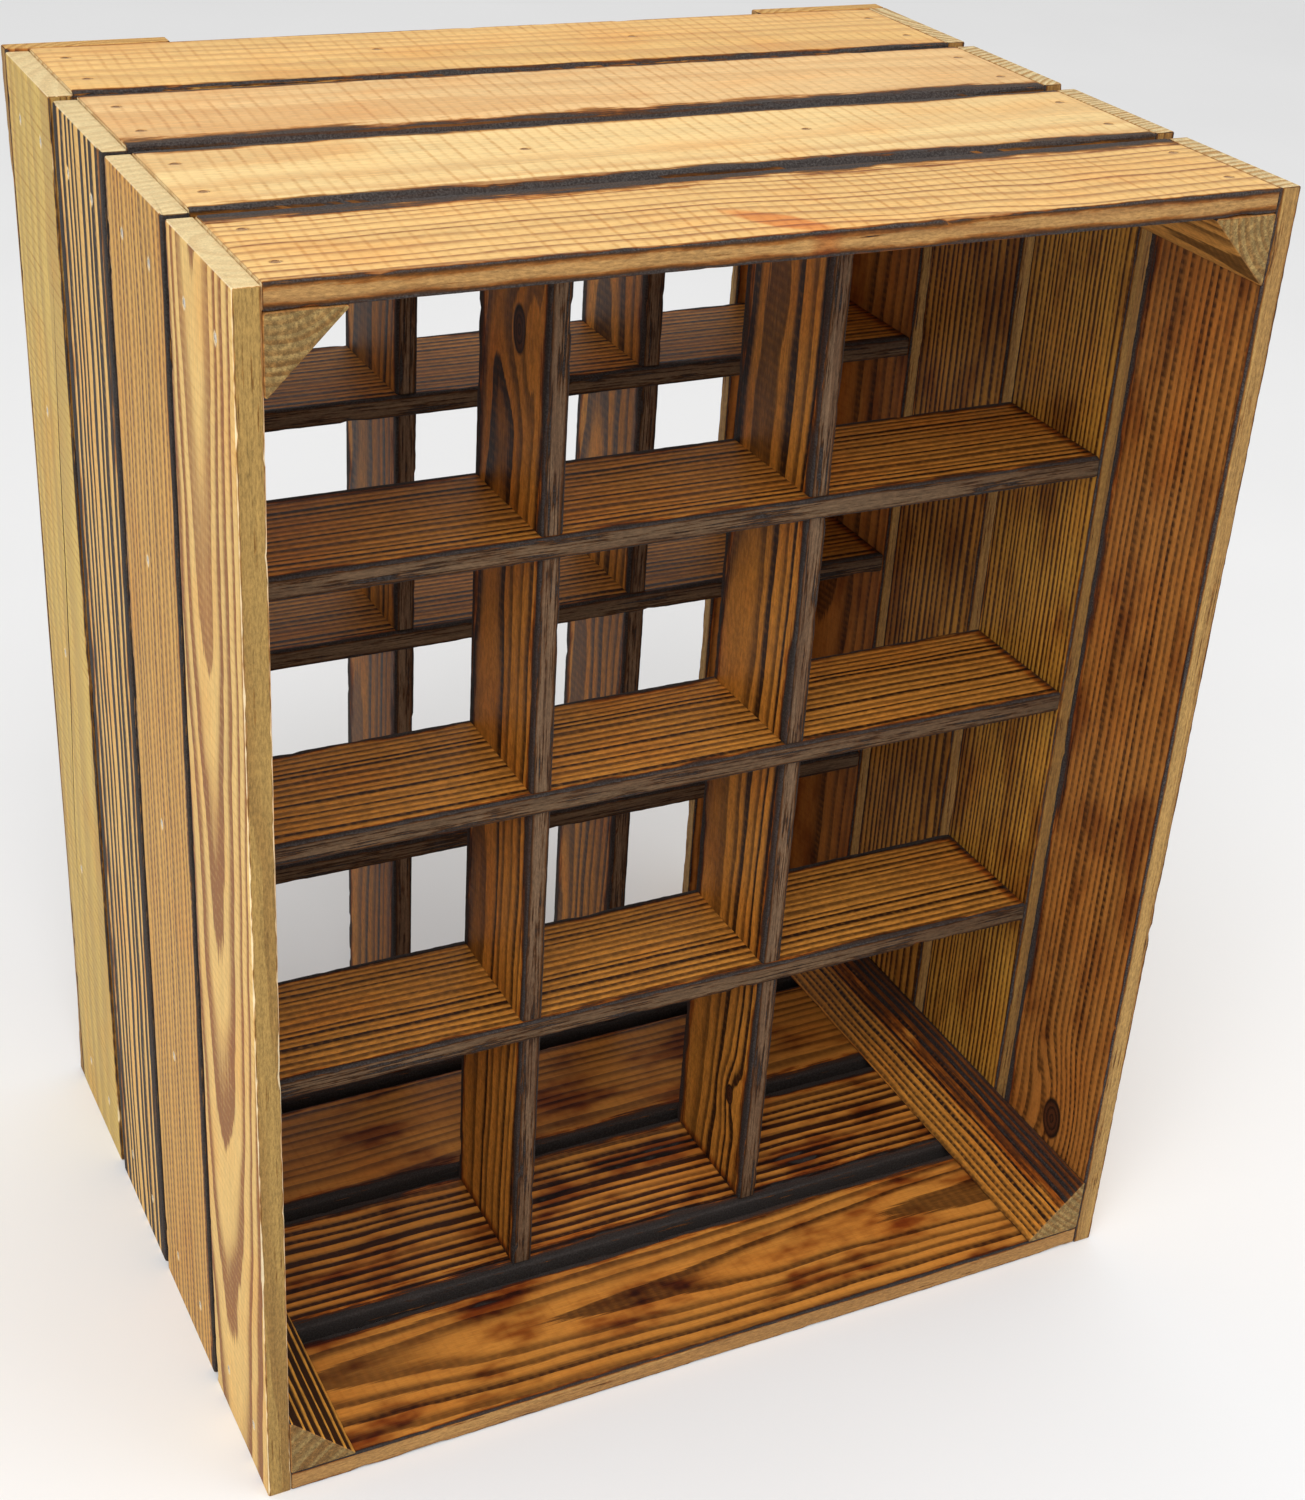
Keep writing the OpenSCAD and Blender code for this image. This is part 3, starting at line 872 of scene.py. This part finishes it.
POST_LOOKS = {
    "bottom_left": dict(POST, pith_y=-54, pith_z=0, ring=6.0, late=0.6, contrast=2.2,
                        light=srgb(212, 150, 62)),
    "bottom_right": dict(POST, pith_y=-64, pith_z=2, ring=3.2, contrast=1.3, reach_minus=34.0,
                         light=srgb(198, 132, 50), burn=0.7, ripple=0.4, saw_pitch=3.4),
    "top_left": dict(POST, pith_y=14, pith_z=-18),
    "top_right": dict(POST, pith_y=8, pith_z=-20, light=srgb(186, 132, 64), contrast=0.8),
}
SHELF_LOOK = dict(INSIDE, pith_y=-90, pith_z=-16, ring=3.9, reach_front=5.0, reach_back=6.0,
                  edge=srgb(104, 82, 60), char_front=0.3, char_back=0.3, lip=1.6, soot=0.4, ash=0.4,
                  coarse=1.0)
UPRIGHT_LOOK = dict(INSIDE, pith_y=16, pith_z=-22, tilt_y=0.05, ring=5.4, late=0.45, contrast=1.1,
                    wobble=3.0, reach_front=8.0, reach_back=9.0, edge=srgb(112, 88, 66), char_front=0.3,
                    char_back=0.3, lip=2.0, soot=0.4, light=srgb(194, 130, 50), ash=0.4, coarse=1.0)
# Knots of single dividers
KNOTS = {
    "front_upright_left": dict(knot_x=187.0, knot_y=-6.0, knot_size=6.0),
    "front_upright_right": dict(knot_x=-191.0, knot_y=-15.0, knot_size=3.5),
}
RUNNER_LOOK = dict(light=srgb(222, 178, 108), dark=srgb(132, 86, 42), pith_y=10, pith_z=-30, ring=3.4,
                   end=srgb(222, 176, 104), reach_plus=3.0, reach_minus=2.0, char_plus=0.2,
                   char_minus=0.2, lip=1.5, saw=0.4)

# Arrises that are burnt or worn away: their number in the board's outline, and how deep.
# Number 3 is the outer one on the -Y side.
TOP_WANES = [{3: 0.6 * MM}, {3: 2.6 * MM}, {3: 4.2 * MM}, {3: 1.5 * MM}]
RUNNER_WANES = {"left": {3: 5 * MM}, "right": {3: 1 * MM}}
DIVIDER_CHIPS = 1.2 * MM

# A drying split that runs down the rear left slat: its path, width and depth
SPLIT_WIDTH, SPLIT_DEPTH, SPLIT_POINTS = 1.8 * MM, 4 * MM, 24
left_low, left_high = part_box("left_slat_4")
check_path = [Vector((left_low.x, left_low.y + (0.18 + 0.55 * t) * (left_high.y - left_low.y)
                      + 1.2 * MM * math.sin(9 * t), left_high.z * (0.86 - 0.62 * t)))
              for t in np.linspace(0, 1, SPLIT_POINTS)]

# Seeds of the sorts of boards start apart, so that no two boards share one
seed = 1
for i in range(4):
    splits = [(check_path, SPLIT_WIDTH, SPLIT_DEPTH)] if i == 3 else []
    plank(f"left_slat_{i + 1}", Z, -X, "side_wood", LEFT_LOOKS[i], seed, "left", splits=splits)
    plank(f"right_slat_{i + 1}", Z, X, "side_wood", RIGHT_LOOKS[i], seed + 10, "right")
    plank(f"top_slat_{i + 1}", X, Z, "outer_wood", TOP_LOOKS[i], seed + 20, "top",
          wanes=TOP_WANES[i])
    plank(f"bottom_slat_{i + 1}", X, -Z, "outer_wood", BOTTOM_LOOKS[i], seed + 30, "bottom")
    seed += 1
for side, side_name in ((-1, "left"), (1, "right")):
    for end, end_name in ((-1, "bottom"), (1, "top")):
        name = f"{end_name}_{side_name}"
        post(f"post_{name}", side, end, POST_LOOKS[name], 50 + side + 3 * end)
LEVELS = ("bottom", "middle", "top")
SIDES = ("left", "right")
for grid in ("front", "rear"):
    uprights = [f"{grid}_upright_{s}" for s in SIDES]
    shelves = [f"{grid}_shelf_{level}" for level in LEVELS]
    for node in shelves:
        seed += 1
        plank(node, X, Z, "divider_wood", SHELF_LOOK, seed + 60,
              slots=half_laps(node, uprights, True), chips=DIVIDER_CHIPS)
    for node in uprights:
        seed += 1
        look = dict(UPRIGHT_LOOK, **KNOTS.get(node, {}))
        plank(node, Z, -X, "divider_wood", look, seed + 60,
              slots=half_laps(node, shelves, False), chips=DIVIDER_CHIPS)
for side in SIDES:
    seed += 1
    plank(f"back_runner_{side}", Z, Y, "back_wood", RUNNER_LOOK, seed + 80, "back",
          wanes=RUNNER_WANES[side])


# ---------------------------------------------------------------- nails

def nail_steel(name, tint, metallic):
    """Wire-nail steel with hammer scuffs and a little brown in the hollows."""
    material = bpy.data.materials.new(name)
    material.use_nodes = True
    tree = material.node_tree
    tree.nodes.clear()
    g = Graph(tree)
    place = g.scaled(g.add("ShaderNodeTexCoord").outputs["Object"], (1000, 1000, 1000))
    scuffs = g.noise(place, scale=2.4, detail=4.0, rough=0.7)
    dull = g.noise(place, scale=0.7, detail=2.0)
    colour = g.ramp(g.step(scuffs, 0.3, 0.75), [(0.0, srgb(196, 186, 170)), (0.6, srgb(238, 232, 220)),
                                               (1.0, srgb(250, 246, 238))])
    colour = g.mix(g.product(g.step(dull, 0.5, 0.75), 0.5), colour, srgb(128, 104, 78))
    colour = g.mix(1.0, colour, tint, "MULTIPLY")
    rough = g.total(0.30, g.product(scuffs, 0.3))
    bump = g.add("ShaderNodeBump", {"Strength": 0.6, "Distance": 1.0,
                                    "Height": g.product(scuffs, 0.15 * MM)})
    shader = g.add("ShaderNodeBsdfPrincipled", {"Metallic": metallic, "Base Color": colour,
                                                "Roughness": rough, "Normal": bump.outputs[0]})
    g.set(g.add("ShaderNodeOutputMaterial").inputs[0], shader.outputs[0])
    return material


BRIGHT = nail_steel("nail_bright", srgb(255, 255, 255), 0.6)
BROWN = nail_steel("nail_brown", srgb(190, 146, 100), 0.2)
for wall in HEADS:
    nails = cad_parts[f"nails_{wall}"].data
    nails.materials.clear()
    nails.materials.append(BROWN if wall == "top" else BRIGHT)


# ---------------------------------------------------------------- stage, lights and camera

def floor(reach):
    """A wide pale floor that goes this far each way."""
    mesh = bpy.data.meshes.new("floor")
    corners = [(-reach, -reach, 0), (reach, -reach, 0), (reach, reach, 0), (-reach, reach, 0)]
    mesh.from_pydata(corners, [], [(0, 1, 2, 3)])
    obj = bpy.data.objects.new("floor", mesh)
    bpy.context.scene.collection.objects.link(obj)
    material = bpy.data.materials.new("floor")
    material.use_nodes = True
    g = Graph(material.node_tree)
    shader = material.node_tree.nodes["Principled BSDF"]
    cloud = g.noise(g.add("ShaderNodeTexCoord").outputs["Object"], scale=3.0)
    g.set(shader.inputs["Base Color"], g.mix(cloud, srgb(240, 240, 240), srgb(246, 246, 246)))
    shader.inputs["Roughness"].default_value = 0.9
    shader.inputs["Specular IOR Level"].default_value = 0.1
    mesh.materials.append(material)


def lamp(name, place, target, size, power):
    """A square, white soft box that points at a target."""
    light = bpy.data.lights.new(name, "AREA")
    light.size = size
    light.energy = power
    obj = bpy.data.objects.new(name, light)
    obj.location = place
    obj.rotation_mode = "QUATERNION"
    obj.rotation_quaternion = (Vector(target) - Vector(place)).to_track_quat("-Z", "Y")
    bpy.context.scene.collection.objects.link(obj)


def surroundings(brightness):
    """An even white sky."""
    world = bpy.data.worlds.new("studio")
    bpy.context.scene.world = world
    world.use_nodes = True
    background = world.node_tree.nodes["Background"]
    background.inputs["Color"].default_value = (1, 1, 1, 1)
    background.inputs["Strength"].default_value = brightness


def camera(place, ahead, up, lens):
    """A camera at a place, looking ahead with its own up direction."""
    data = bpy.data.cameras.new("camera")
    data.lens = lens
    data.sensor_width = 36
    data.clip_start = 0.02
    data.clip_end = 50
    obj = bpy.data.objects.new("camera", data)
    back, up = -Vector(ahead).normalized(), Vector(up)
    right = up.cross(back).normalized()
    turn = Matrix((right, back.cross(right), back)).transposed().to_4x4()
    obj.matrix_world = Matrix.Translation(place) @ turn
    bpy.context.scene.collection.objects.link(obj)
    bpy.context.scene.camera = obj


CENTRE = (0, 0, 0.25)
floor(reach=8.0)
surroundings(brightness=0.75)
lamp("key", place=(-0.9, -1.4, 2.2), target=CENTRE, size=1.6, power=34)
lamp("fill", place=(1.6, -1.8, 1.2), target=CENTRE, size=1.6, power=10)
camera(place=(-0.3886, -0.7816, 0.7228), ahead=(0.41002, 0.76580, -0.49542),
       up=(0.17238, 0.46832, 0.86658), lens=55.37)
bpy.context.scene.view_settings.view_transform = "Standard"
